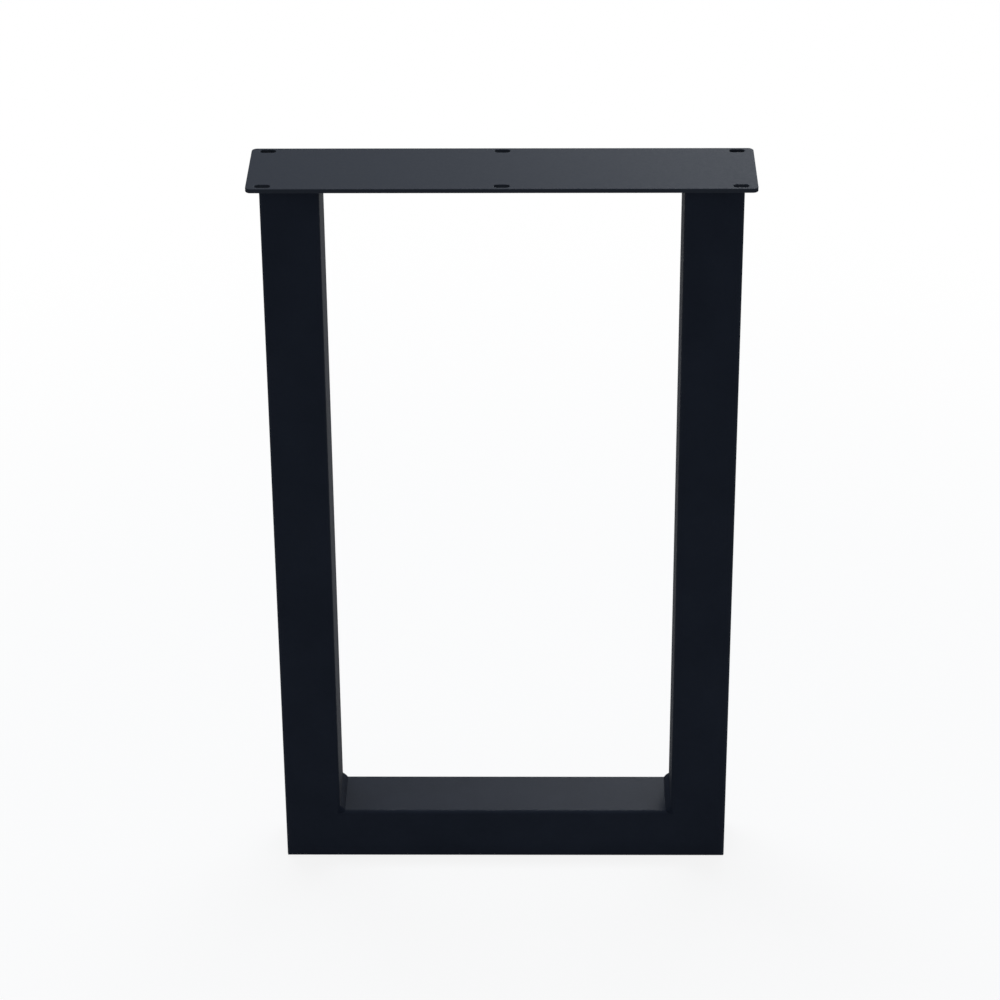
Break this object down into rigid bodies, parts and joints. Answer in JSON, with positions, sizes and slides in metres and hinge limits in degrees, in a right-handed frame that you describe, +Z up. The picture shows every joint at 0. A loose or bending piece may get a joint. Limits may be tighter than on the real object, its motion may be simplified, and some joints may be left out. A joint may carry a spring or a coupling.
{
  "type": "u shaped table leg",
  "caption": "Black U shaped steel table leg: hollow uprights mitred into a floor rail, with a slotted mounting plate welded across the top to carry a table top.",
  "frame": {"origin": "on the floor, under the middle of the leg", "axes": "+Z up, X along the mounting plate, -Y towards the side that the picture shows"},
  "size_m": [0.45, 0.09, 0.72],
  "materials": {
    "black_powder_coat": "satin"
  },
  "bodies": {
    "root": {"top_plate": "black_powder_coat", "left_upright": "black_powder_coat", "right_upright": "black_powder_coat", "floor_rail": "black_powder_coat", "left_plate_weld": "black_powder_coat", "right_plate_weld": "black_powder_coat", "left_corner_weld": "black_powder_coat", "right_corner_weld": "black_powder_coat"}
  },
  "joints": []
}
